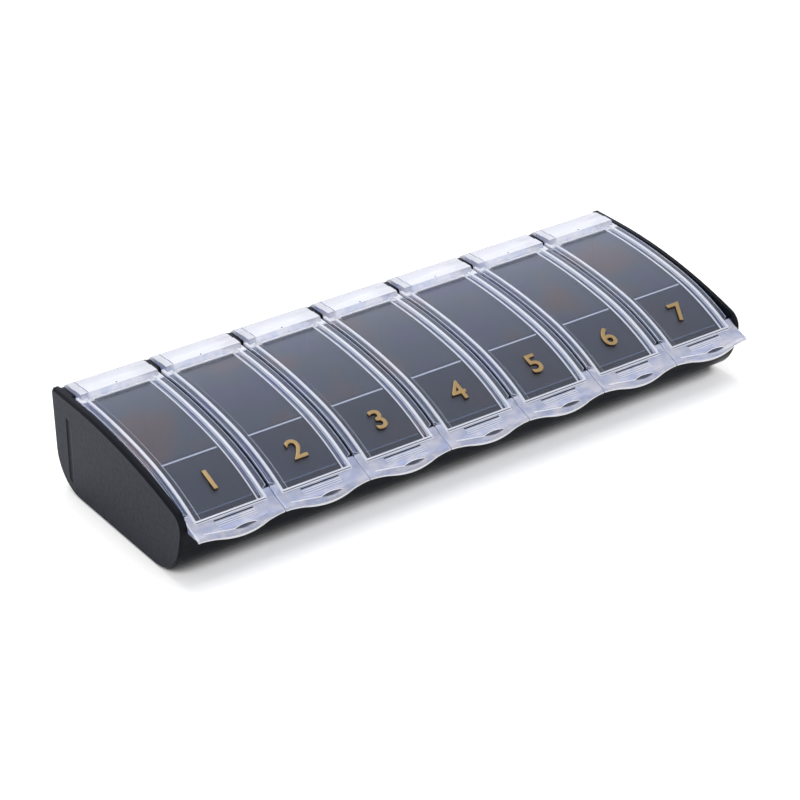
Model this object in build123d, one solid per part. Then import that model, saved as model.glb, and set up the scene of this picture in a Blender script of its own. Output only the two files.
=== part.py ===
from build123d import *
import math
import os

# A weekly pill organizer: one black moulded tray with seven compartments, and
# seven clear lids, each snapped onto two stub pins at the back of its compartment.
# Millimetres. X runs along the row of lids, -Y is the front where the finger lips
# are, +Y the hinge side, and Z is up from the flat base. The origin is at the
# middle of the whole object's footprint, on the surface that it stands on.

# The tray
compartments = 7
pitch = 30.8                # from one partition's middle to the next
end_margin = 2.2            # from an end partition line to the outer end face
partition = 2.2             # thickness of a partition
wall = 1.8                  # thickness of the front and back walls
floor = 2.0                 # thickness of the floor
back_y = 41.9               # outer back wall at the rim
base_back_y = 40.6          # where the back wall's line would meet the base
base_front_y = -30.5        # where the front wall's line would meet the base
front_lean = 12.0           # degrees that the front wall leans out
rim_z = 33.8                # level part of the crown that the rims and lids follow
partition_rise = -0.85      # partitions end this far from the crown, under the lids
end_rise = 0.45             # end plates and ears end this far over the crown
back_round = 13.5           # outer radius under the back
front_round = 16.5          # outer radius under the front
nose_round = 6.0            # outer radius where the end plates turn down in front
heel_round = 1.4            # outer radius at the top of the back wall
end_edge_bevel = 0.8        # broken outline of the two end faces
flute_radius = 4.0          # radius of the shallow upright flute in each end face
flute_depth = 0.35
flute_y = 31.5
flute_low_z = 4.5
flute_high_z = 28.0

# The crown: the curve from the level back to the front
crown_start_y = 30.0        # where the level part ends
crown_turn_y = -8.0         # where the long arc meets the tighter one
long_radius = 200.0
tight_radius = 85.0

# The hinges
axis_y = 37.2
axis_z = 31.6
barrel_radius = 3.85
pin_radius = 1.0
pin_clearance = 0.05        # radial running clearance in the bore
pin_short = 2.7             # stub that enters a lid's left side
pin_long = 4.7              # stub that enters a lid's right side
pin_end_play = 0.4          # bore left beyond the pin's tip
ear = 2.5                   # thickness of an ear between two lids
ear_front_y = 31.6
ear_back_round = 3.4
ear_bevel = 1.0
ear_side_gap = 0.3          # from an ear to a lid's barrel
barrel_gap = 0.5            # from a barrel down to the back wall's cut top

# The lids
lid_gap = 1.5               # between the sides of two closed lids
lip_gap = 0.36              # between two finger lips
seat_gap = 0.15             # between a lid's flange and the partition below it
plate = 1.0                 # thickness of the flange
flange_back_y = 31.0
rail_inset = 3.6            # from the partition line to the inside of a side rail
rail = 1.0                  # thickness of the rails and of the skirts under them
rail_rise = 0.12            # rail's top over the flange
skirt_drop = 3.5            # side skirts' lower edge below the crown
skirt_front_y = -23.8
window_front_y = -33.4
window_back_y = 28.9
window_rise = -0.35         # window's upper face from the crown
window_thick = 1.2
pad_width = 19.6
pad_front_y = -30.0
pad_back_y = -10.9
pad_thick = 0.4
block_top_z = 35.7
block_front_y = 29.2
block_step_y = 33.6
block_step = 0.25           # the barrel lies this much lower than the block
block_under_z = 32.6
block_under_run = 1.4       # length of the slope from the barrel up to that face
slit_inset = 4.3            # from the partition line to the slit
slit = 0.35
slit_front_y = 29.7

# The finger lip of a lid
lip_back_y = -31.2
lip_side_y = -39.85         # lip's front edge beside its neighbours
lip_shoulder = 9.0          # half width of the bulge
lip_shoulder_y = -40.6      # front edge where the bulge begins
lip_mid_y = -41.85          # front edge in the middle of the bulge
lip_blend = 12.0            # radius between the bulge and its sides
lip_under_z = 18.5
lip_bend_y = -39.3          # where the underside starts to droop
lip_bend_round = 3.0
lip_tip_under_z = 16.5
lip_tip_top_z = 18.1
lip_crest_y = -34.1
tray_lip_gap = 0.25         # from the lip's underside to the tray's front wall
notch_clear = 0.2           # from the lip's back to the notch in a partition
lip_slot_y = -35.1
lip_slot_width = 0.5
lip_slot_depth = 0.5
lip_slot_length = 14.4
dimple_length = 8.2
dimple_width = 2.1
dimple_depth = 0.6
dimple_y = -40.6

# For the modelling itself
root = 0.2                  # how far two joined forms reach into one another
spare = 10.0                # how far a cutting shape reaches past what it cuts

row = compartments * pitch
length = row + 2 * end_margin
half_length = length / 2
first_line = -row / 2
barrel_half = (pitch - ear) / 2 - ear_side_gap
frame_half = pitch / 2 - rail_inset + rail
window_half = pitch / 2 - rail_inset
lid_half = (pitch - lid_gap) / 2
lip_half = (pitch - lip_gap) / 2
flange_low = partition_rise + seat_gap
flange_top = flange_low + plate
window_low = window_rise - window_thick
crown_reach = back_y + spare

turn_sine = (crown_start_y - crown_turn_y) / long_radius
turn_cosine = math.sqrt(1 - turn_sine ** 2)
long_centre = (crown_start_y, rim_z - long_radius)
tight_centre = (
    crown_start_y - (long_radius - tight_radius) * turn_sine,
    long_centre[1] + (long_radius - tight_radius) * turn_cosine,
)


def crown_z(y, rise):
    """Height of the crown, shifted outwards by rise, at a distance y."""
    if y >= crown_start_y:
        return rim_z + rise
    if y >= long_centre[0] - (long_radius + rise) * turn_sine:
        return long_centre[1] + math.sqrt((long_radius + rise) ** 2 - (long_centre[0] - y) ** 2)
    return tight_centre[1] + math.sqrt((tight_radius + rise) ** 2 - (tight_centre[0] - y) ** 2)


def end_rim_z(y):
    """Height of an end plate's rim, where the long arc goes on to the front."""
    run = min(y - long_centre[0], 0)
    return long_centre[1] + math.sqrt((long_radius + end_rise) ** 2 - run ** 2)


def slab(outline, half_width, centre_x=0.0):
    """An outline drawn in Y and Z, as a solid across X."""
    plane = Plane(origin=(centre_x - half_width, 0, 0), x_dir=(0, 1, 0), z_dir=(1, 0, 0))
    return extrude(plane * outline, 2 * half_width)


def round_corner(face, point, radius):
    """The face with the corner nearest to the point rounded."""
    y, z = point
    corner = min(face.vertices(), key=lambda v: (v.X - y) ** 2 + (v.Y - z) ** 2)
    return fillet(corner, radius)


def under_crown(rise, half_width):
    """All that lies under the crown shifted by rise, across X."""
    front_y = -crown_reach
    turn_y = long_centre[0] - (long_radius + rise) * turn_sine
    front = (front_y, crown_z(front_y, rise))
    turn = (turn_y, crown_z(turn_y, rise))
    start = (crown_start_y, rim_z + rise)
    middle_y = (front_y + turn_y) / 2
    long_middle_y = (turn_y + crown_start_y) / 2
    edges = [
        ThreePointArc(front, (middle_y, crown_z(middle_y, rise)), turn),
        ThreePointArc(turn, (long_middle_y, crown_z(long_middle_y, rise)), start),
        Polyline(start, (crown_reach, rim_z + rise), (crown_reach, -rim_z), (front_y, -rim_z), front),
    ]
    return slab(make_face(edges), half_width)


def box_between(x0, x1, y0, y1, z0, z1):
    centre = ((x0 + x1) / 2, (y0 + y1) / 2, (z0 + z1) / 2)
    return Pos(*centre) * Box(abs(x1 - x0), abs(y1 - y0), abs(z1 - z0))


def band(low, high, front_y, back_limit_y, half_width):
    """A sheet that follows the crown between two shifts, across X."""
    sheet = under_crown(high, half_width) - under_crown(low, half_width + spare)
    reach = half_width + spare
    return sheet & box_between(-reach, reach, front_y, back_limit_y, 0, 2 * rim_z)


def front_wall_y(z, inward=0.0):
    """Y of the leaning front wall's outer face at a height, or of a face inside it."""
    lean = math.radians(front_lean)
    return base_front_y - z * math.tan(lean) + inward / math.cos(lean)


def back_wall_y(z):
    return base_back_y + (back_y - base_back_y) * z / rim_z


def end_outline():
    """The outline of the tray's end plates."""
    nose_y = base_front_y
    for _ in range(20):
        nose_y = front_wall_y(end_rim_z(nose_y))
    nose = (nose_y, end_rim_z(nose_y))
    middle_y = (nose_y + crown_start_y) / 2
    start = (crown_start_y, rim_z + end_rise)
    heel = (back_wall_y(rim_z + end_rise), rim_z + end_rise)
    face = make_face([
        Polyline(start, heel, (base_back_y, 0), (base_front_y, 0), nose),
        ThreePointArc(nose, (middle_y, end_rim_z(middle_y)), start),
    ])
    face = round_corner(face, heel, heel_round)
    face = round_corner(face, (base_back_y, 0), back_round)
    face = round_corner(face, (base_front_y, 0), front_round)
    return round_corner(face, nose, nose_round)


def pocket_outline():
    """The inside of one compartment: scooped at the front, round at the back."""
    top = rim_z + spare
    heel = (back_wall_y(floor) - wall, floor)
    toe = (front_wall_y(floor, wall), floor)
    face = make_face(Polyline(
        (back_wall_y(top) - wall, top), heel, toe, (front_wall_y(top, wall), top), close=True
    ))
    face = round_corner(face, heel, back_round - wall)
    return round_corner(face, toe, front_round - wall)


def ear_outline():
    top = rim_z + end_rise
    low = axis_z - barrel_radius
    corner = (back_wall_y(top), top)
    face = make_face(Polyline(
        (ear_front_y, low), (ear_front_y, top - ear_bevel), (ear_front_y + ear_bevel, top),
        corner, (back_wall_y(low), low), close=True,
    ))
    return round_corner(face, corner, ear_back_round)


def pin(line_x, reach):
    """A stub pin that reaches along +X or -X from a partition line."""
    body = Rot(0, 90, 0) * Cylinder(pin_radius, abs(reach))
    return Pos(line_x + reach / 2, axis_y, axis_z) * body


def flute(side):
    """The shape that cuts the upright flute into one end face."""
    centre_x = side * (half_length + flute_radius - flute_depth)
    half_groove = math.sqrt(flute_radius ** 2 - (flute_radius - flute_depth) ** 2)
    low = flute_low_z + half_groove
    high = flute_high_z - half_groove
    shape = Pos(centre_x, flute_y, (low + high) / 2) * Cylinder(flute_radius, high - low)
    for z in (low, high):
        shape += Pos(centre_x, flute_y, z) * Sphere(flute_radius)
    return shape


def make_tray():
    tray = slab(end_outline(), half_length)
    ends = tray.faces().sort_by(Axis.X)
    tray = chamfer(ends[0].edges() + ends[-1].edges(), end_edge_bevel)
    for side in (-1, 1):
        tray -= flute(side)

    # Between the end plates, the partitions end lower, where the lids seat.
    over = box_between(-row / 2, row / 2, -crown_reach, crown_reach, 0, rim_z + spare)
    tray -= over - under_crown(partition_rise, row)

    pocket = slab(pocket_outline(), (pitch - partition) / 2)
    barrel_room = box_between(
        -(pitch - ear) / 2, (pitch - ear) / 2,
        axis_y - barrel_radius - wall, back_y + spare,
        axis_z - barrel_radius - barrel_gap, rim_z + spare,
    )
    for i in range(compartments):
        middle = first_line + (i + 0.5) * pitch
        tray -= Pos(middle, 0, 0) * pocket
        tray -= Pos(middle, 0, 0) * barrel_room

    # The lips pass over the front wall, so that wall and the partitions end lower there.
    tray -= box_between(
        -row / 2, row / 2, lip_mid_y, lip_back_y + notch_clear,
        lip_under_z - tray_lip_gap, rim_z,
    )

    for i in range(compartments + 1):
        line = first_line + i * pitch
        tray += slab(ear_outline(), ear / 2, line)
        if i < compartments:
            tray += pin(line, ear / 2 + pin_short)
        if i > 0:
            tray += pin(line, -ear / 2 - pin_long)
    return tray


def lip_section():
    """The finger lip's section, front to back."""
    bend = (lip_bend_y, lip_under_z)
    face = make_face(Polyline(
        (lip_back_y, lip_under_z), bend, (lip_mid_y, lip_tip_under_z), (lip_mid_y, lip_tip_top_z),
        (lip_crest_y, crown_z(lip_crest_y, flange_top)), (lip_back_y, crown_z(lip_back_y, flange_top)),
        close=True,
    ))
    return round_corner(face, bend, lip_bend_round)


def lip_plan():
    """The finger lip's outline from above, with its bulging front edge."""
    left = (-lip_shoulder, lip_shoulder_y)
    right = (lip_shoulder, lip_shoulder_y)
    face = make_face([
        Polyline(
            right, (lip_half, lip_side_y), (lip_half, 0), (-lip_half, 0), (-lip_half, lip_side_y), left,
        ),
        ThreePointArc(left, (0, lip_mid_y), right),
    ])
    return round_corner(round_corner(face, left, lip_blend), right, lip_blend)


def make_lid():
    """One lid, closed, with its middle at X = 0."""
    rail_top = flange_top + rail_rise
    lid = band(flange_low, flange_top, lip_back_y, flange_back_y, lid_half)
    lid += band(window_low, rail_top, window_front_y - rail, window_back_y + rail, frame_half)
    lid += band(-skirt_drop, flange_top, skirt_front_y, window_back_y + rail, frame_half)

    # The hinge block and its barrel
    block = make_face(Polyline(
        (window_back_y - root, rim_z + window_rise),
        (block_front_y, block_top_z),
        (block_step_y, block_top_z),
        (block_step_y, block_top_z - block_step),
        (axis_y, axis_z + barrel_radius),
        (axis_y, axis_z),
        (axis_y - barrel_radius, axis_z),
        (axis_y - barrel_radius - block_under_run, block_under_z),
        (window_back_y - root, block_under_z),
        close=True,
    ))
    lid += slab(block, barrel_half)
    lid += slab(Pos(axis_y, axis_z) * Circle(barrel_radius), barrel_half)

    # The finger lip stands in front of the frame.
    lip = slab(lip_section(), lip_half) & extrude(lip_plan(), rim_z)
    lip -= box_between(-frame_half, frame_half, window_front_y - rail, lip_back_y + spare, 0, rim_z)
    lid += lip

    # The window is sunk between the rails, with the label pad under its front part.
    lid -= band(window_rise, spare, window_front_y, window_back_y, window_half)
    under = under_crown(window_low, window_half)
    lid -= under & box_between(-pitch, pitch, window_front_y, window_back_y, 0, 2 * rim_z)
    lid += band(window_low - pad_thick, window_low + root, pad_front_y, pad_back_y, pad_width / 2)

    # The bores for the two stub pins, and the slit that lets the left knuckle spring
    bore = Rot(0, 90, 0) * Cylinder(pin_radius + pin_clearance, 2 * barrel_half)
    left_depth = pin_short - ear_side_gap + pin_end_play
    right_depth = pin_long - ear_side_gap + pin_end_play
    lid -= Pos(left_depth - 2 * barrel_half, axis_y, axis_z) * bore
    lid -= Pos(2 * barrel_half - right_depth, axis_y, axis_z) * bore
    slit_x = slit_inset - pitch / 2
    lid -= box_between(slit_x - slit / 2, slit_x + slit / 2, slit_front_y, axis_y + spare,
                       0, rim_z + spare)

    # On the lip: a slot along its crest and a finger dimple
    crest_z = crown_z(lip_crest_y, flange_top)
    fall = math.degrees(math.atan2(crest_z - lip_tip_top_z, lip_crest_y - lip_mid_y))

    def on_lip(y):
        z = crest_z + (y - lip_crest_y) * math.tan(math.radians(fall))
        return Pos(0, y, z) * Rot(fall, 0, 0)

    lid -= on_lip(lip_slot_y) * Box(lip_slot_length, lip_slot_width, 2 * lip_slot_depth)
    half = dimple_length / 2
    leaf = make_face([
        ThreePointArc((-half, 0), (0, dimple_width / 2), (half, 0)),
        ThreePointArc((half, 0), (0, -dimple_width / 2), (-half, 0)),
    ])
    lid -= on_lip(dimple_y) * Pos(0, 0, -dimple_depth) * extrude(leaf, 2 * dimple_depth)
    return lid


os.makedirs("parts", exist_ok=True)
export_step(make_tray(), "parts/tray.step")
lid = make_lid()
for i in range(compartments):
    middle = first_line + (i + 0.5) * pitch
    export_step(Pos(middle, 0, 0) * lid, "parts/lid_%d.step" % (i + 1))
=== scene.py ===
import bmesh
import bpy
import math
from mathutils import Matrix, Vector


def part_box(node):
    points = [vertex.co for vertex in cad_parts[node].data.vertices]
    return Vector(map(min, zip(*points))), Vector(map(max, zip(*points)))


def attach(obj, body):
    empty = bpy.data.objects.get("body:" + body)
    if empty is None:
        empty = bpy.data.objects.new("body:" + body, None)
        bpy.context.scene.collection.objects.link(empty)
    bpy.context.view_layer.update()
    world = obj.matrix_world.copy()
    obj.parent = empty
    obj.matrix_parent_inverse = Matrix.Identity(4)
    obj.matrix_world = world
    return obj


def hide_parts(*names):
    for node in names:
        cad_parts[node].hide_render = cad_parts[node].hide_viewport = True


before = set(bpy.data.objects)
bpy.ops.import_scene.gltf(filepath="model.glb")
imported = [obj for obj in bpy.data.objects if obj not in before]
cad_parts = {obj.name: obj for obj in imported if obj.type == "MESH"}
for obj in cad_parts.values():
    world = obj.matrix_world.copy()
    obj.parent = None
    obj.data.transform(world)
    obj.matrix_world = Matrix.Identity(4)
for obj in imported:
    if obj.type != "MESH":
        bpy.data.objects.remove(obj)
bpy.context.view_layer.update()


# The tray
# One black polypropylene moulding with seven scooped compartments. Its rims and walls
# come polished from the mould; its end faces have a fine spark-eroded grain.
def linear(hex_colour):
    """An sRGB hex colour as a linear colour with full alpha."""
    channels = [int(hex_colour[i:i + 2], 16) / 255 for i in (1, 3, 5)]
    return [c / 12.92 if c <= 0.04045 else ((c + 0.055) / 1.055) ** 2.4 for c in channels] + [1.0]


def add(owner, kind, settings=None, **links):
    """Adds one node to a material, world or node group, with its settings and links."""
    tree = getattr(owner, "node_tree", owner)
    node = tree.nodes.new(kind)
    for name, value in (settings or {}).items():
        if name in node.inputs:
            node.inputs[name].default_value = value
        else:
            setattr(node, name, value)
    for name, source in links.items():
        tree.links.new(source, node.inputs[name.replace("_", " ")])
    return node


def new_material(name):
    """A material whose node tree is empty."""
    material = bpy.data.materials.new(name)
    material.use_nodes = True
    material.node_tree.nodes.clear()
    return material


def polished_polypropylene():
    # Black polypropylene has an IOR near 1.49. A polished mould leaves roughness 0.12 to 0.2,
    # which varies in soft patches of about 8 mm.
    m = new_material("black_polypropylene_polished")
    patch_size = 0.00833
    place = add(m, "ShaderNodeTexCoord")
    wear = add(m, "ShaderNodeTexNoise", {"Scale": 1 / patch_size, "Detail": 3.0},
               Vector=place.outputs["Object"])
    gloss = add(m, "ShaderNodeMapRange", {"To Min": 0.12, "To Max": 0.2},
                Value=wear.outputs["Fac"])
    shader = add(m, "ShaderNodeBsdfPrincipled",
                 {"Base Color": linear("#0D1116"), "IOR": 1.49, "Specular IOR Level": 0.12},
                 Roughness=gloss.outputs["Result"])
    add(m, "ShaderNodeOutputMaterial", Surface=shader.outputs["BSDF"])
    return m


def grained_polypropylene():
    # The grain's pits are about 0.15 mm across, and leave roughness 0.35. They are drawn at
    # 0.4 mm, with faint specks of 1.4 mm, so that the grain shows from where the camera stands.
    m = new_material("black_polypropylene_fine_grain")
    pit_size, speck_size = 0.000417, 0.00143
    place = add(m, "ShaderNodeTexCoord")
    grain = add(m, "ShaderNodeTexNoise", {"Scale": 1 / pit_size, "Detail": 2.0},
                Vector=place.outputs["Object"])
    specks = add(m, "ShaderNodeTexNoise", {"Scale": 1 / speck_size, "Detail": 4.0},
                 Vector=place.outputs["Object"])
    shade = add(m, "ShaderNodeValToRGB", Fac=specks.outputs["Fac"])
    shade.color_ramp.elements[0].position = 0.35
    shade.color_ramp.elements[0].color = linear("#1A1C25")
    shade.color_ramp.elements[1].position = 0.65
    shade.color_ramp.elements[1].color = linear("#2A2C35")
    bump = add(m, "ShaderNodeBump", {"Strength": 0.15, "Distance": 0.0001},
               Height=grain.outputs["Fac"])
    shader = add(m, "ShaderNodeBsdfPrincipled",
                 {"Roughness": 0.35, "IOR": 1.49, "Specular IOR Level": 0.2,
                  "Specular Tint": linear("#9CAEEC")},
                 Base_Color=shade.outputs["Color"], Normal=bump.outputs["Normal"])
    add(m, "ShaderNodeOutputMaterial", Surface=shader.outputs["BSDF"])
    return m


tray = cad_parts["tray"]
tray.data.materials.clear()
tray.data.materials.append(polished_polypropylene())
tray.data.materials.append(grained_polypropylene())
end_x = 0.109               # only the two end faces lie outside this
sideways = 0.95             # least sideways part of their normals
for face in tray.data.polygons:
    face.material_index = int(abs(face.normal.x) > sideways and abs(face.center.x) > end_x)


# The lids
# Seven clear polystyrene lids from one mesh, finer than the CAD's and with rounded
# edges: flanges, rails with skirts, a sunk window, a finger lip and a split hinge barrel.
lid_nodes = ["lid_%d" % (i + 1) for i in range(7)]
rim_z = 0.0338              # level part of the crown that the lids follow
level_y = 0.030             # where that level part ends
turn_y = -0.008             # where the long arc meets the tighter one
long_radius = 0.200
tight_radius = 0.085
turn_sine = (level_y - turn_y) / long_radius
long_z = rim_z - long_radius
tight_y = level_y - (long_radius - tight_radius) * turn_sine
tight_z = long_z + (long_radius - tight_radius) * math.sqrt(1 - turn_sine ** 2)

body_front_y = -0.0340      # window, rails and flanges are one profile from here
flange_back_y = 0.0310
flange_half = 0.01482
flange_low, flange_top = -0.0007, 0.0003
edge_round = 0.00014
rail_in, rail_out = 0.0118, 0.0128
rail_top = 0.00042
cap_round = 0.0003
rail_front_y = -0.0348      # the front rail, with a fine groove along its top
front_rail_round = 0.0004
groove_back_y, groove_front_y = -0.0341, -0.03433
groove_depth = 0.0003
skirt_low = -0.0027
skirt_end_low = -0.0018     # over the tray's front wall
skirt_back_y = 0.0294
block_low = -0.0011         # the profile's underside inside the hinge block
window_front_y = -0.0334
window_low, window_top = -0.00155, -0.00035
border_foot, border_edge = 0.00985, 0.0102     # sloping inner side of the window's border
border_top = 0.0
pad_half = 0.0098
pad_front_y, pad_back_y = -0.0300, -0.0107
pad_low = -0.00195
back_highlight_width = 0.00036        # painted white highlight along the pad's back edge
thin_highlight = 0.00008

lip_half = 0.01522
lip_back_y = -0.0312
lip_crest_y = -0.0341       # where the lip's top starts to fall
lip_side_y = -0.03985       # lip's front edge beside its neighbours
lip_shoulder = 0.0090       # half width of the bulge in the front edge
lip_shoulder_y = -0.0406
lip_mid_y = -0.04183
edge_softness = 0.00012     # how softly the bulge runs into its sides
lip_under_z = 0.0185
lip_bend_y = -0.0393        # where the lip's underside starts to fall
lip_bend_run = 0.0006
lip_tip_under_z, lip_tip_top_z = 0.0165, 0.0181
lip_highlight_share = 0.45       # lower part of the lip's front, painted white as a highlight

axis_y, axis_z = 0.0372, 0.0316
barrel_radius = 0.00385
barrel_half = 0.01385
block_top_z = 0.0357
block_foot_y = 0.0284       # foot of the block's sloping front
block_front_y = 0.0295
block_step_y = 0.0336
block_step_drop = 0.00025
block_under_z = 0.0326
block_under_run = 0.0014
foot_line_reach, foot_line_rise = 0.0003, 0.0004     # painted white highlight along the block's foot
foot_line_bevel = 0.0001
hinge_light_reach = 0.0009         # how far in front of the block the rails are painted pale too
bore_radius = 0.00105
bore_depths = {-1: 0.0028, 1: 0.0048}
slit_x = -0.0111
slit_width = 0.00035
slit_front_y, slit_back_y = 0.0297, 0.042
slit_low_z, slit_top_z = 0.027, 0.037
gate_x, gate_y = -0.0006, 0.0302     # mark of the mould's gate on the block's top
gate_radius, gate_depth = 0.0003, 0.0003

lip_slot_y = -0.0353        # slot along the lip's back
lip_slot_width, lip_slot_depth, lip_slot_length = 0.0005, 0.0005, 0.0138
dimple_x, dimple_y = 0.0013, -0.0403     # leaf-shaped dimple for the finger
dimple_length, dimple_width, dimple_depth = 0.0076, 0.0013, 0.0006
fold_x, fold_y = 0.0124, -0.0385     # outer ends of the raised fold behind the dimple
fold_width, fold_rise = 0.0003, 0.0001
fold_gap = 0.0001           # from the dimple's edge to the fold

section_step = 0.0012       # greatest distances between sections: along the crown,
lip_step = 0.0008           # across the lip,
fine_step = 0.0004          # and along the dimple and the fold
form_round = 0.0003         # rounding of the lip's, block's and barrel's edges
inside = 0.0003             # how far one form runs into the next before they join
beyond = 0.001              # how far a cut runs past the surface
skin = 0.00001              # a shift that keeps joined forms from sharing a face
small_step = 0.00005        # a step too small to see, where two outlines meet


def lamp_glass(m, shader):
    """Lets the lamps' rays pass the clear plastic, so that what is under it is lit."""
    ray = add(m, "ShaderNodeLightPath")
    passing = add(m, "ShaderNodeBsdfTransparent")
    mix = add(m, "ShaderNodeMixShader")
    m.node_tree.links.new(ray.outputs["Is Shadow Ray"], mix.inputs[0])
    m.node_tree.links.new(shader.outputs["BSDF"], mix.inputs[1])
    m.node_tree.links.new(passing.outputs["BSDF"], mix.inputs[2])
    add(m, "ShaderNodeOutputMaterial", Surface=mix.outputs["Shader"])


def clear_polystyrene():
    # Polystyrene has an IOR near 1.59, and a polished mould leaves it without roughness.
    # A small pale diffuse share paints part of the window's sheen. It comes in patches about
    # 18 mm across, from blue to mauve, as stress left in the moulding tints it.
    m = new_material("clear_polystyrene_polished")
    patch_size = 0.0182
    place = add(m, "ShaderNodeTexCoord")
    patches = add(m, "ShaderNodeTexNoise", {"Scale": 1 / patch_size, "Detail": 1.0},
                  Vector=place.outputs["Object"])
    tint = add(m, "ShaderNodeValToRGB", Fac=patches.outputs["Fac"])
    tint.color_ramp.elements[0].position = 0.34
    tint.color_ramp.elements[0].color = linear("#B8C0E0")
    tint.color_ramp.elements[1].position = 0.66
    tint.color_ramp.elements[1].color = linear("#CEC4CC")
    tint.color_ramp.elements.new(0.5).color = linear("#B8C6DA")
    shader = add(m, "ShaderNodeBsdfPrincipled",
                 {"Roughness": 0.0, "IOR": 1.59, "Transmission Weight": 0.95},
                 Base_Color=tint.outputs["Color"])
    lamp_glass(m, shader)
    return m


def pale_polystyrene(name, colour, transmission, roughness):
    # A diffuse share paints light and shade into the clear plastic. It is pale where it stands in
    # for highlights on rounded edges and for light that thick parts gather, and dark where it
    # stands in for shade in recesses.
    m = new_material(name)
    shader = add(m, "ShaderNodeBsdfPrincipled",
                 {"Base Color": linear(colour), "Roughness": roughness, "IOR": 1.59,
                  "Transmission Weight": transmission})
    lamp_glass(m, shader)
    return m


def uneven_polystyrene():
    # A pale diffuse share paints the light that the lip's thick plastic gathers, unevenly,
    # in pale and blue patches of about 4 mm.
    m = new_material("clear_polystyrene_lip_painted_light")
    patch_size = 0.00417
    place = add(m, "ShaderNodeTexCoord")
    patches = add(m, "ShaderNodeTexNoise", {"Scale": 1 / patch_size, "Detail": 2.0, "Distortion": 0.6},
                  Vector=place.outputs["Object"])
    tint = add(m, "ShaderNodeValToRGB", Fac=patches.outputs["Fac"])
    tint.color_ramp.elements[0].position = 0.38
    tint.color_ramp.elements[0].color = linear("#CCD4EE")
    tint.color_ramp.elements[1].position = 0.62
    tint.color_ramp.elements[1].color = linear("#EEEEF7")
    shader = add(m, "ShaderNodeBsdfPrincipled",
                 {"Roughness": 0.05, "IOR": 1.59, "Transmission Weight": 0.65},
                 Base_Color=tint.outputs["Color"])
    lamp_glass(m, shader)
    return m


# The finishes after the first paint light and shade: edge highlights, white highlights, the pale lip
# and hinge, shade in recesses and a shade over the label.
finishes = [clear_polystyrene(),
            pale_polystyrene("clear_polystyrene_painted_edge_highlight", "#E0E4F0", 0.1, 0.1),
            uneven_polystyrene(),
            pale_polystyrene("clear_polystyrene_hinge_painted_light", "#F6F8FE", 0.45, 0.05),
            pale_polystyrene("clear_polystyrene_recess_painted_shade", "#4A5064", 0.3, 0.2),
            pale_polystyrene("clear_polystyrene_painted_white_highlight", "#FAFBFF", 0.0, 0.1),
            pale_polystyrene("clear_polystyrene_label_painted_shade", "#A8B4C8", 0.974, 0.0)]
CLEAR, EDGE_HIGHLIGHT, LIP_LIGHT, HINGE_LIGHT, RECESS_SHADE, WHITE_HIGHLIGHT, LABEL_SHADE = range(len(finishes))


def crown_z(y, rise):
    """Height of the crown, shifted outwards by rise, at a distance y."""
    if y >= level_y:
        return rim_z + rise
    if y >= level_y - (long_radius + rise) * turn_sine:
        return long_z + math.sqrt((long_radius + rise) ** 2 - (level_y - y) ** 2)
    return tight_z + math.sqrt((tight_radius + rise) ** 2 - (tight_y - y) ** 2)


def steps(start, end, length):
    """Evenly spaced values from start to end, no further apart than length."""
    count = max(1, math.ceil(abs(end - start) / length))
    return [start + (end - start) * k / count for k in range(count + 1)]


def new_object(name, data):
    """An object in the scene from a mesh, curve, light or camera."""
    item = bpy.data.objects.new(name, data)
    bpy.context.scene.collection.objects.link(item)
    return item


def final_mesh(item):
    """A helper object's mesh after its modifiers."""
    return bpy.data.meshes.new_from_object(
        item.evaluated_get(bpy.context.evaluated_depsgraph_get()))


def loft(name, sections, finish=CLEAR, edge=0.0):
    """A closed form through a row of sections, its sharp edges rounded. The finish is one for
    all sides, or a list with one for each side."""
    points = [p for section in sections for p in section]
    n = len(sections[0])
    faces = [tuple(range(n)), tuple(range(len(points) - n, len(points)))]
    for k in range(len(sections) - 1):
        for i in range(n):
            j = (i + 1) % n
            faces.append((k * n + i, k * n + j, (k + 1) * n + j, (k + 1) * n + i))
    mesh = bpy.data.meshes.new(name)
    mesh.from_pydata(points, [], faces)
    work = bmesh.new()
    work.from_mesh(mesh)
    bmesh.ops.recalc_face_normals(work, faces=work.faces)
    work.to_mesh(mesh)
    work.free()
    for material in finishes:
        mesh.materials.append(material)
    sides = finish if isinstance(finish, list) else [finish] * n
    for k, face in enumerate(mesh.polygons):     # its two ends come first
        face.material_index = sides[(k - 2) % n] if k > 1 else sides[0]
    form = new_object(name, mesh)
    if edge:
        rounding = form.modifiers.new("rounding", "BEVEL")
        rounding.width = edge
        rounding.segments = 3
        rounding.limit_method = "ANGLE"
        rounding.angle_limit = math.radians(50)
    return form


def band(name, x0, x1, y0, y1, low, high, finish=CLEAR):
    """A strip that follows the crown, between two shifts."""
    sections = []
    for y in steps(y0, y1, section_step):
        bottom, top = crown_z(y, low), crown_z(y, high)
        sections.append([(x0, y, bottom), (x1, y, bottom), (x1, y, top), (x0, y, top)])
    return loft(name, sections, finish)


def prism(name, outline, x0, x1, finish=CLEAR, edge=0.0):
    """An outline in Y and Z, drawn out along X."""
    sections = [[(x, y, z) for y, z in outline] for x in (x0, x1)]
    return loft(name, sections, finish, edge)


def ring(y, z, radius, count):
    """Points around a circle, as pairs of coordinates."""
    turns = [2 * math.pi * k / count for k in range(count)]
    return [(y + radius * math.cos(a), z + radius * math.sin(a)) for a in turns]


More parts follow.
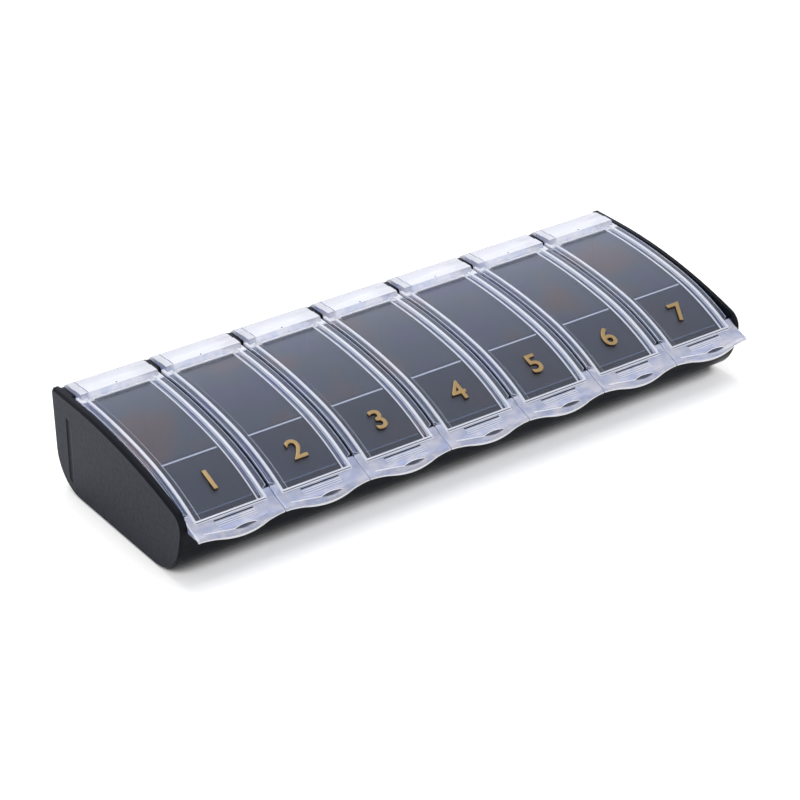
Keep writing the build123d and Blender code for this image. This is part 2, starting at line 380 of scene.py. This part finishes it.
def lip_front_y(x):
    """The lip's front edge: a bulging arc between two straight sides."""
    rise = lip_shoulder_y - lip_mid_y
    radius = (lip_shoulder ** 2 + rise ** 2) / (2 * rise)
    past_shoulder = 1.2 * lip_shoulder
    arc = lip_mid_y + radius - math.sqrt(radius ** 2 - min(abs(x), past_shoulder) ** 2)
    slope = (lip_side_y - lip_shoulder_y) / (lip_half - lip_shoulder)
    side = lip_shoulder_y + slope * (abs(x) - lip_shoulder)
    return 0.5 * (arc + side - math.sqrt((arc - side) ** 2 + edge_softness ** 2))


def lip_top_z(y):
    """The lip's upper face, which falls straight from the crest to the tip."""
    crest_z = crown_z(lip_crest_y, flange_top)
    share = (lip_crest_y - y) / (lip_crest_y - lip_mid_y)
    return crest_z + (lip_tip_top_z - crest_z) * share


def lip_section(x):
    """The lip's outline at a distance x from its middle."""
    back_y = lip_back_y if abs(x) > (rail_in + rail_out) / 2 else lip_crest_y + inside
    front_y = lip_front_y(x)
    run_y = lip_bend_y + lip_bend_run
    outline = [(back_y, lip_under_z), (run_y, lip_under_z)]
    droop = (lip_under_z - lip_tip_under_z) / (lip_bend_y - lip_mid_y)
    for k in range(1, 6):
        y = run_y + (front_y - run_y) * k / 5
        outline.append((y, lip_under_z - droop * max(0.0, lip_bend_y - y)))
    top_z = lip_top_z(front_y)
    outline.append((front_y, outline[-1][1] + lip_highlight_share * (top_z - outline[-1][1])))
    outline.append((front_y, top_z))
    for k in range(1, 5):
        y = front_y + (lip_crest_y - front_y) * k / 5
        outline.append((y, lip_top_z(y)))
    for k in range(4):
        y = lip_crest_y + (back_y - lip_crest_y) * k / 3
        outline.append((y, crown_z(y, flange_top - 2 * skin)))
    return [(x, y, z) for y, z in outline]


def joined(name, forms, cuts):
    """One mesh from the forms less the cuts. The helper objects are removed."""
    for operation, group in (("UNION", forms[1:]), ("DIFFERENCE", cuts)):
        for form in group:
            step = forms[0].modifiers.new(form.name, "BOOLEAN")
            step.operation = operation
            step.solver = "EXACT"
            step.object = form
    mesh = final_mesh(forms[0])
    mesh.name = name
    for form in forms + cuts:
        bpy.data.objects.remove(form)
    return mesh


def half_profile(y):
    """Half of the lid's cross section at y, from the middle of its top round to its bottom."""
    low, foot, wide = window_low, skirt_low, flange_half
    if y > skirt_back_y:
        low, foot = block_low, block_low
    elif y <= lip_back_y:
        foot, wide = skirt_end_low, rail_out + small_step
    nib = min(edge_round, wide - rail_out - 2 * skin)
    # The rail caps, the flange's edge nibs and the skirt's foot carry the painted edge highlight.
    points = [(border_foot, window_top, EDGE_HIGHLIGHT), (border_edge, border_top, CLEAR),
              (rail_in, border_top, EDGE_HIGHLIGHT)]
    for turn in (180, 150, 120, 90):
        points.append((rail_in + cap_round * (1 + math.cos(math.radians(turn))),
                       rail_top - cap_round * (1 - math.sin(math.radians(turn))), EDGE_HIGHLIGHT))
    step = rail_top - flange_top
    for turn in (90, 60, 30):
        points.append((rail_out - step * (1 - math.cos(math.radians(turn))),
                       rail_top - step * (1 - math.sin(math.radians(turn))), EDGE_HIGHLIGHT))
    points += [(rail_out, flange_top, CLEAR), (wide - nib, flange_top, EDGE_HIGHLIGHT),
               (wide, flange_top - nib, CLEAR), (wide, flange_low + nib, EDGE_HIGHLIGHT),
               (wide - nib, flange_low, CLEAR), (rail_out, flange_low, CLEAR),
               (rail_out, foot, EDGE_HIGHLIGHT), (rail_in, foot, CLEAR), (rail_in, low, CLEAR)]
    return points


def lid_body():
    """Window, rails, skirts and flanges as one profile that follows the crown."""
    label_back_y = pad_back_y - back_highlight_width / 2
    ends = (body_front_y, lip_back_y - skin, lip_back_y, label_back_y, skirt_back_y,
            skirt_back_y + skin, flange_back_y)
    stretches = [steps(start, end, section_step) for start, end in zip(ends, ends[1:])]
    sections = []
    for y in stretches[0] + [y for stretch in stretches[1:] for y in stretch[1:]]:
        half = half_profile(y)
        sections.append([(x, y, crown_z(y, rise)) for x, rise, finish in half]
                        + [(-x, y, crown_z(y, rise)) for x, rise, finish in reversed(half)])
    sides = [finish for x, rise, finish in half_profile(flange_back_y)[:-1]]
    body = loft("body", sections, sides + [CLEAR] + sides[::-1] + [CLEAR])
    # Faces over the pad get a painted shade, a smaller pale diffuse share than the window's; the rails
    # just in front of the block are painted pale like it.
    for face in body.data.polygons:
        x, y = abs(face.center.x), face.center.y
        if y < label_back_y and x < border_foot:
            face.material_index = LABEL_SHADE
        elif y > block_foot_y - hinge_light_reach and x > border_foot:
            face.material_index = HINGE_LIGHT
    return body


def label_pad():
    """The pad under the window, and the painted highlights along its back, left and front edges."""
    return [
        band("pad", -pad_half, pad_half, pad_front_y, pad_back_y, pad_low, window_low + inside),
        band("pad_back", -pad_half - skin, pad_half + skin, pad_back_y - back_highlight_width,
             pad_back_y + skin, pad_low - skin, window_low + skin, WHITE_HIGHLIGHT),
        band("pad_side", -pad_half - skin, -pad_half + thin_highlight, pad_front_y + skin,
             pad_back_y - inside, pad_low - 2 * skin, window_low + 2 * skin, EDGE_HIGHLIGHT),
        band("pad_front", -pad_half + skin, pad_half - skin, pad_front_y - skin,
             pad_front_y + thin_highlight, pad_low - 3 * skin, window_low + 3 * skin, EDGE_HIGHLIGHT)]


def front_rail():
    """The raised bar across the lid's front, between the window and the lip, painted with the edge
    highlight.
    """
    outline = [(rail_front_y, window_low), (window_front_y, window_low - small_step),
               (window_front_y, rail_top + skin), (rail_front_y, rail_top + skin)]
    return prism("front_rail", [(y, crown_z(y, rise)) for y, rise in outline],
                 -rail_out - skin, rail_out + skin, EDGE_HIGHLIGHT, front_rail_round)


def lip():
    """The finger lip, which runs out wider in front of the flanges."""
    middle = (rail_in + rail_out) / 2
    across = steps(-lip_half, -middle - small_step, lip_step)
    across += steps(-middle + small_step, middle - small_step, lip_step)
    across += steps(middle + small_step, lip_half, lip_step)
    sections = [lip_section(x) for x in across]
    # The lip is painted pale, and the lower part of its front white as a highlight.
    sides = [LIP_LIGHT] * 6 + [WHITE_HIGHLIGHT] + [LIP_LIGHT] * (len(sections[0]) - 7)
    return loft("lip", sections, sides, form_round)


def fold():
    """A raised line that follows the dimple's back edge and runs out to the lip's corners. It is
    painted white as a highlight, and pale beyond the dimple.
    """
    sections = []
    for x in steps(-fold_x, fold_x, fine_step):
        reach = min(1.0, abs(2 * (x - dimple_x) / dimple_length))
        y = dimple_y + dimple_width / 2 * (1 - reach ** 2) + fold_gap
        if reach == 1.0:
            end = dimple_x + math.copysign(dimple_length / 2, x - dimple_x)
            y += (fold_y - dimple_y) * (x - end) / (math.copysign(fold_x, x) - end)
        sections.append([(x, y + dy, lip_top_z(y + dy) + dz) for dy, dz in (
            (-fold_width / 2, -fold_rise), (-fold_width / 2, fold_rise / 5), (0.0, fold_rise),
            (fold_width / 2, fold_rise / 5), (fold_width / 2, -fold_rise))])
    line = loft("fold", sections, WHITE_HIGHLIGHT)
    for face in line.data.polygons:
        if face.center.x > dimple_x + dimple_length / 2:
            face.material_index = LIP_LIGHT
    return line


def hinge_block():
    """The block behind the window and the barrel, both painted pale for the light they gather,
    and the painted white highlight along the block's foot.
    """
    foot_z = rim_z + window_top
    return [
        prism("block", [
            (block_foot_y, foot_z), (block_front_y, block_top_z),
            (block_step_y, block_top_z), (block_step_y, block_top_z - block_step_drop),
            (axis_y, axis_z + barrel_radius), (axis_y, axis_z), (axis_y - barrel_radius, axis_z),
            (axis_y - barrel_radius - block_under_run, block_under_z),
            (block_foot_y, block_under_z),
        ], -barrel_half, barrel_half, [LIP_LIGHT] + [HINGE_LIGHT] * 8, form_round),
        prism("foot_line", [
            (block_foot_y - foot_line_reach, foot_z - inside), (block_front_y, foot_z - inside),
            (block_front_y, foot_z + foot_line_rise),
            (block_foot_y - foot_line_bevel, foot_z + foot_line_rise - foot_line_bevel),
        ], -rail_in - 2 * foot_line_bevel, rail_in + 2 * foot_line_bevel, WHITE_HIGHLIGHT),
        prism("barrel", ring(axis_y, axis_z, barrel_radius, 72), -barrel_half + skin,
              barrel_half - skin, HINGE_LIGHT, form_round)]


def hinge_cuts():
    """The two blind bores for the tray's stub pins, and the knuckle's slit."""
    cuts = []
    for side, depth in bore_depths.items():
        cuts.append(prism("bore", ring(axis_y, axis_z, bore_radius, 24),
                          side * (barrel_half - depth), side * (barrel_half + beyond)))
    cuts.append(prism("slit", [(slit_front_y, slit_low_z), (slit_back_y, slit_low_z),
                               (slit_back_y, slit_top_z), (slit_front_y, slit_top_z)],
                      slit_x - slit_width / 2, slit_x + slit_width / 2, LIP_LIGHT))
    return cuts


def gate():
    """The small round mark of the mould's gate, sunk in the block's top and painted dark as shade."""
    circle = ring(gate_x, gate_y, gate_radius, 16)
    return loft("gate", [[(x, y, z) for x, y in circle]
                         for z in (block_top_z - gate_depth, block_top_z + gate_depth)], RECESS_SHADE)


def lip_slot():
    """The straight slot along the lip's back, painted dark as shade."""
    across, down = lip_slot_width / 2, lip_slot_depth
    corners = ((-across, -down), (across, -down), (across, down), (-across, down))
    return loft("slot", [[(x, lip_slot_y + y, lip_top_z(lip_slot_y + y) + z) for y, z in corners]
                         for x in (-lip_slot_length / 2, lip_slot_length / 2)], RECESS_SHADE)


def rail_groove():
    """The fine groove along the front rail's top, painted dark as shade."""
    corners = ((groove_front_y, -groove_depth), (groove_back_y, -groove_depth),
               (groove_back_y, groove_depth), (groove_front_y, groove_depth))
    half = rail_out - front_rail_round
    return prism("groove", [(y, crown_z(y, rail_top + z)) for y, z in corners], -half, half, RECESS_SHADE)


def dimple():
    """The leaf-shaped hollow for the finger, deepest at its middle and painted dark as shade."""
    sections = []
    for x in steps(-dimple_length / 2, dimple_length / 2, fine_step):
        share = 1 - (2 * x / dimple_length) ** 2
        half = dimple_width / 2 * share + skin
        floor = -dimple_depth * share - skin
        sections.append([(dimple_x + x, dimple_y + y, lip_top_z(dimple_y + y) + z) for y, z in (
            (-half, beyond), (-half, 0.0), (-half / 2, floor), (half / 2, floor), (half, 0.0),
            (half, beyond))])
    return loft("dimple", sections, RECESS_SHADE)


lid = joined("lid", [lid_body()] + label_pad() + [front_rail(), lip(), fold()] + hinge_block(),
             hinge_cuts() + [lip_slot(), rail_groove(), gate(), dimple()])
lid.shade_smooth()
lid.set_sharp_from_angle(angle=math.radians(32))
middles = []
for node in lid_nodes:
    low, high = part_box(node)
    middles.append((low[0] + high[0]) / 2)
    mesh = lid.copy()
    mesh.transform(Matrix.Translation((middles[-1], 0, 0)))
    piece = new_object(node + "_clear", mesh)
    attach(piece, node)
    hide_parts(node)


# The grip ridges
# Three fine rounded ridges across each lip, between its slot and its dimple. They are moulded
# with the lid, of the same polystyrene, and half sunk in the lip's top; their finish is the
# painted edge highlight.
ridge_count = 3
ridge_pitch = 0.00075
ridge_length = 0.0138
ridge_radius = 0.00016
ridge_sink = 0.00008
ridge_y = -0.0361


def ridge_group():
    """A node group that repeats one rod at a pitch, and the identifiers of its inputs."""
    group = bpy.data.node_groups.new("grip_ridges", "GeometryNodeTree")
    keys = {}
    for name, kind in (("Count", "NodeSocketInt"), ("Pitch", "NodeSocketFloat"),
                       ("Length", "NodeSocketFloat"), ("Radius", "NodeSocketFloat"),
                       ("Material", "NodeSocketMaterial")):
        keys[name] = group.interface.new_socket(name, in_out="INPUT", socket_type=kind).identifier
    group.interface.new_socket("Geometry", in_out="OUTPUT", socket_type="NodeSocketGeometry")
    given = add(group, "NodeGroupInput")
    back = add(group, "ShaderNodeMath", {"operation": "MULTIPLY"}, Value=given.outputs["Pitch"])
    back.inputs[1].default_value = -1.0
    apart = add(group, "ShaderNodeCombineXYZ", Y=back.outputs["Value"])
    row = add(group, "GeometryNodeMeshLine", Count=given.outputs["Count"],
              Offset=apart.outputs["Vector"])
    rod = add(group, "GeometryNodeMeshCylinder", {"Vertices": 12},
              Radius=given.outputs["Radius"], Depth=given.outputs["Length"])
    laid = add(group, "GeometryNodeTransform", {"Rotation": (0, math.radians(90), 0)},
               Geometry=rod.outputs["Mesh"])
    placed = add(group, "GeometryNodeInstanceOnPoints", Points=row.outputs["Mesh"],
                 Instance=laid.outputs["Geometry"])
    real = add(group, "GeometryNodeRealizeInstances", Geometry=placed.outputs["Instances"])
    finish = add(group, "GeometryNodeSetMaterial", Geometry=real.outputs["Geometry"],
                 Material=given.outputs["Material"])
    add(group, "NodeGroupOutput", Geometry=finish.outputs["Geometry"])
    return group, keys


group, keys = ridge_group()
seed = new_object("ridges", bpy.data.meshes.new("ridges"))
rows = seed.modifiers.new("ridges", "NODES")
rows.node_group = group
for name, value in (("Count", ridge_count), ("Pitch", ridge_pitch), ("Length", ridge_length),
                    ("Radius", ridge_radius), ("Material", finishes[EDGE_HIGHLIGHT])):
    rows[keys[name]] = value
ridges = final_mesh(seed)
bpy.data.objects.remove(seed)
ridges.shade_smooth()
ridges.set_sharp_from_angle(angle=math.radians(40))
fall = math.atan2(lip_top_z(lip_crest_y) - lip_top_z(lip_mid_y), lip_crest_y - lip_mid_y)
for number, (node, middle) in enumerate(zip(lid_nodes, middles), 1):
    mesh = ridges.copy()
    mesh.transform(Matrix.Translation((middle, ridge_y, lip_top_z(ridge_y) - ridge_sink))
                   @ Matrix.Rotation(fall, 4, "X"))
    piece = new_object("lid_%d_ridges" % number, mesh)
    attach(piece, node)


# The numerals
# Gold numerals 1 to 7, one on each lid over its pad. Their painted tops stand a little proud
# of the window. Their flanks go down into the pad and are painted dark bronze as their shadow.
cap_height = 0.0078
type_size = cap_height / 0.729      # the built-in sans-serif's capitals are 0.729 of its size
numeral_y = -0.02245                # middle of a numeral
numeral_rise = 0.0003               # top of a numeral over the crown
numeral_depth = 0.0017
numeral_round = 0.00025
numeral_thinning = 0.00003          # taken off the strokes all round
flank_slope = 0.35                  # faces that look up less than this are flanks, painted as shadow


def metallic_paint(name, colour, roughness):
    # Metal flakes in a binder make a satin paint that is only partly metallic. Printed on
    # plastic it is slightly uneven, in spots of about 1 mm.
    m = new_material(name)
    spot_size = 0.00111
    place = add(m, "ShaderNodeTexCoord")
    mottle = add(m, "ShaderNodeTexNoise", {"Scale": 1 / spot_size, "Detail": 3.0},
                 Vector=place.outputs["Object"])
    bump = add(m, "ShaderNodeBump", {"Strength": 0.2, "Distance": 0.0001},
               Height=mottle.outputs["Fac"])
    shader = add(m, "ShaderNodeBsdfPrincipled",
                 {"Base Color": linear(colour), "Metallic": 0.35, "Roughness": roughness},
                 Normal=bump.outputs["Normal"])
    add(m, "ShaderNodeOutputMaterial", Surface=shader.outputs["BSDF"])
    return m


gold = metallic_paint("gold_paint_satin", "#A68A59", 0.38)
# The dark bronze of the flanks is a painted shadow.
shadow_bronze = metallic_paint("numeral_flank_painted_shadow", "#3A2C20", 0.5)
for number, (node, middle) in enumerate(zip(lid_nodes, middles), 1):
    words = bpy.data.curves.new("numeral", "FONT")
    words.body = str(number)
    words.size = type_size
    words.align_x = "CENTER"
    words.offset = -numeral_thinning
    words.extrude = numeral_depth / 2 - numeral_round
    words.bevel_depth = numeral_round
    words.bevel_resolution = 2
    drawn = new_object("numeral", words)
    mesh = final_mesh(drawn)
    bpy.data.objects.remove(drawn)
    work = bmesh.new()
    work.from_mesh(mesh)
    bmesh.ops.remove_doubles(work, verts=work.verts, dist=1e-6)
    bmesh.ops.recalc_face_normals(work, faces=work.faces)
    work.to_mesh(mesh)
    work.free()
    mesh.materials.clear()
    mesh.materials.append(gold)
    mesh.materials.append(shadow_bronze)
    for face in mesh.polygons:
        face.material_index = int(face.normal.z < flank_slope)
    slope = math.atan2(tight_y - numeral_y, crown_z(numeral_y, 0) - tight_z)
    left = min(v.co.x for v in mesh.vertices)
    right = max(v.co.x for v in mesh.vertices)
    mesh.transform(Matrix.Translation((-(left + right) / 2, -cap_height / 2, -numeral_depth / 2)))
    mesh.transform(Matrix.Translation((middle, numeral_y, crown_z(numeral_y, numeral_rise)))
                   @ Matrix.Rotation(slope, 4, "X"))
    piece = new_object("numeral_%d" % number, mesh)
    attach(piece, node)


# The table and the light
# A sheet of matt white paper under one large softbox. To the camera the paper also glows
# where nothing stands close above it, so that it shows white and keeps the object's shadow.
table_half = 3.0
corners = [(x * table_half, y * table_half, 0) for x, y in ((-1, -1), (1, -1), (1, 1), (-1, 1))]
floor_mesh = bpy.data.meshes.new("table")
floor_mesh.from_pydata(corners, [], [(0, 1, 2, 3)])
table = new_object("table", floor_mesh)
m = new_material("white_table")
paper = add(m, "ShaderNodeBsdfDiffuse", {"Color": linear("#F6F6F6")})
ray = add(m, "ShaderNodeLightPath")
covered = add(m, "ShaderNodeAmbientOcclusion", {"samples": 16, "Distance": 0.012})
lift = add(m, "ShaderNodeMapRange", {"From Min": 0.2, "From Max": 0.34, "To Max": 0.42},
           Value=covered.outputs["AO"])
seen = add(m, "ShaderNodeMath", {"operation": "MULTIPLY"})
m.node_tree.links.new(lift.outputs["Result"], seen.inputs[0])
m.node_tree.links.new(ray.outputs["Is Camera Ray"], seen.inputs[1])
glow = add(m, "ShaderNodeEmission", Strength=seen.outputs["Value"])
both = add(m, "ShaderNodeAddShader")
m.node_tree.links.new(paper.outputs["BSDF"], both.inputs[0])
m.node_tree.links.new(glow.outputs["Emission"], both.inputs[1])
add(m, "ShaderNodeOutputMaterial", Surface=both.outputs["Shader"])
floor_mesh.materials.append(m)

# The studio is white to the camera and through the lids, and lights the object a little from
# all round. What shines mirrors it slightly blue, and brighter towards the horizon.
world = bpy.data.worlds.new("studio")
bpy.context.scene.world = world
world.use_nodes = True
world.node_tree.nodes.clear()
ray = add(world, "ShaderNodeLightPath")
seen = add(world, "ShaderNodeMath", {"operation": "MAXIMUM"})
world.node_tree.links.new(ray.outputs["Is Camera Ray"], seen.inputs[0])
world.node_tree.links.new(ray.outputs["Is Transmission Ray"], seen.inputs[1])
level = add(world, "ShaderNodeMapRange", {"To Min": 0.6, "To Max": 1.0}, Value=seen.outputs["Value"])
white = add(world, "ShaderNodeBackground", {"Color": linear("#FFFFFF")},
            Strength=level.outputs["Result"])
place = add(world, "ShaderNodeTexCoord")
height = add(world, "ShaderNodeSeparateXYZ", Vector=place.outputs["Generated"])
upwards = add(world, "ShaderNodeMapRange",
              {"interpolation_type": "SMOOTHSTEP", "From Min": 0.4, "From Max": 0.75,
               "To Min": 1.3, "To Max": 0.9}, Value=height.outputs["Z"])
mirrored = add(world, "ShaderNodeBackground", {"Color": linear("#EEEFFF")},
               Strength=upwards.outputs["Result"])
sky = add(world, "ShaderNodeMixShader")
world.node_tree.links.new(ray.outputs["Is Glossy Ray"], sky.inputs[0])
world.node_tree.links.new(white.outputs["Background"], sky.inputs[1])
world.node_tree.links.new(mirrored.outputs["Background"], sky.inputs[2])
add(world, "ShaderNodeOutputWorld", Surface=sky.outputs["Shader"])

softbox_data = bpy.data.lights.new("softbox", "AREA")
softbox_data.shape = "RECTANGLE"
softbox_data.size = 0.45
softbox_data.size_y = 0.7
softbox_data.energy = 4.0
softbox = new_object("softbox", softbox_data)
softbox.location = (0.0, 0.25, 0.8)
softbox.rotation_euler = (math.radians(-17), 0, 0)

# The camera's place, turn and lens were fitted to the photograph.
camera_data = bpy.data.cameras.new("camera")
camera_data.lens = 117
camera_data.sensor_width = 36
camera = new_object("camera", camera_data)
camera.location = (-0.4339, -0.5933, 0.4299)
camera.rotation_euler = (math.radians(90 - 29.61), 0, math.radians(-35.79))
bpy.context.scene.camera = camera
bpy.context.scene.view_settings.view_transform = "Standard"
